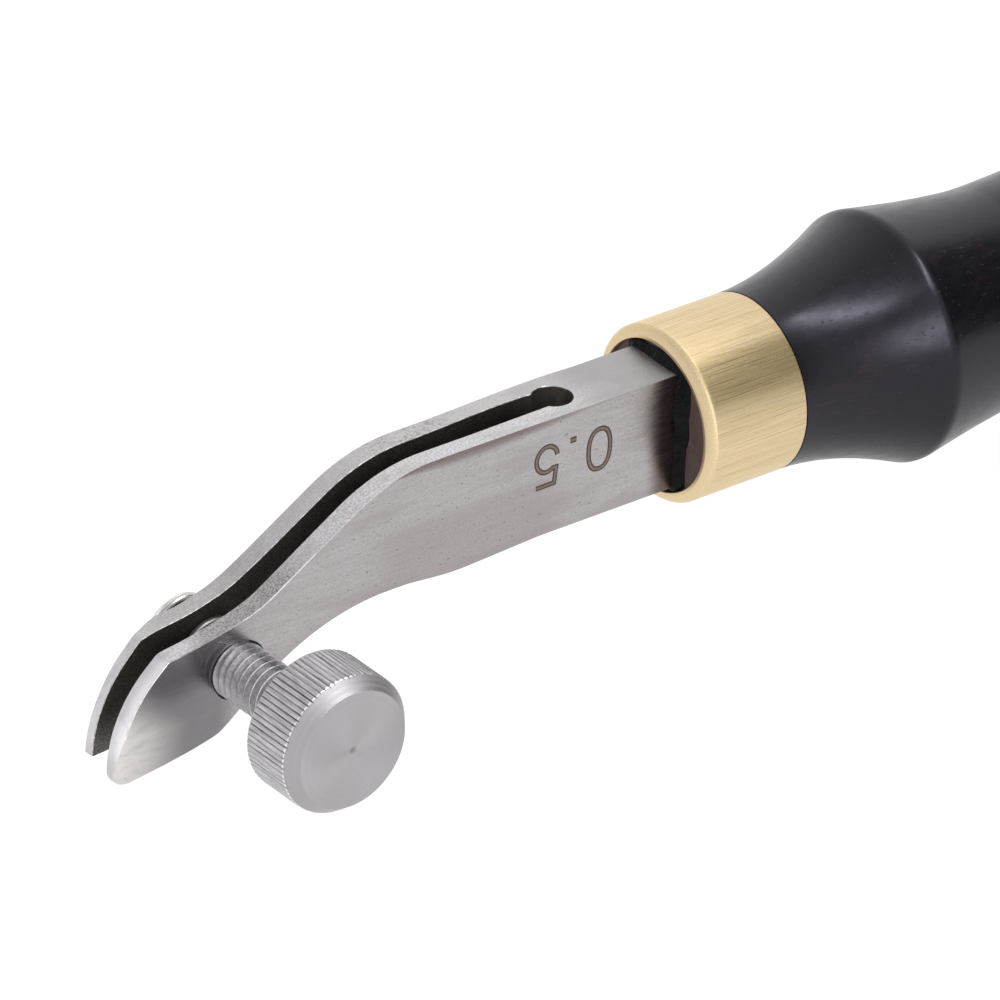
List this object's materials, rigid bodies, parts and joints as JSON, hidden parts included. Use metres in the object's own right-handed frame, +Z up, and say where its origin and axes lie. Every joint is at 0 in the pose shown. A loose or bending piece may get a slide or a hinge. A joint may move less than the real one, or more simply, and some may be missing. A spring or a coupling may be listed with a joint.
{
  "type": "leather creaser",
  "caption": "Hand tool that presses a line beside a leather edge: a slotted steel bar with springy hooked jaws, a thumbscrew that sets their gap, and a turned wooden handle with a brass ferrule.",
  "frame": {"origin": "centre of the flat turned on the handle's butt", "axes": "+X along the handle's axis, out of the butt; the jaws point along -X; the thumbscrew's knob is on the -Y side; +Z up, away from the jaws' hooked toes"},
  "size_m": [0.1544, 0.0292, 0.0268],
  "materials": {
    "ebony": "waxed satin",
    "brass": "brushed along its length",
    "epoxy": "glossy",
    "bar_steel": "ground, polished at the tip",
    "screw_steel": "turned and knurled"
  },
  "bodies": {
    "root": {"handle": "ebony", "ferrule": "brass", "epoxy": "epoxy", "shank": "bar_steel"},
    "near_jaw": {"near_jaw": "bar_steel"},
    "far_jaw": {"far_jaw": "bar_steel"},
    "screw": {"thumbscrew": "screw_steel", "retaining_collar": "screw_steel"}
  },
  "joints": [
    {"name": "near_jaw_flex", "type": "hinge", "parent": "root", "child": "near_jaw", "pos_m": [-0.1102, -0.00225, 0], "axis": [0, 0, 1], "range_deg": [-1.05, 1.05]},
    {"name": "far_jaw_flex", "type": "hinge", "parent": "root", "child": "far_jaw", "pos_m": [-0.1102, 0.00225, 0], "axis": [0, 0, 1], "range_deg": [-1.05, 1.05]},
    {"name": "thumbscrew_turn", "type": "hinge", "parent": "far_jaw", "child": "screw", "pos_m": [-0.1431, 0, -0.00755], "axis": [0, 1, 0], "range_deg": [-540, 540]}
  ],
  "couplings": [
    {"joint": "near_jaw_flex", "follows": "thumbscrew_turn", "ratio": 0.001935},
    {"joint": "far_jaw_flex", "follows": "thumbscrew_turn", "ratio": -0.001935}
  ]
}
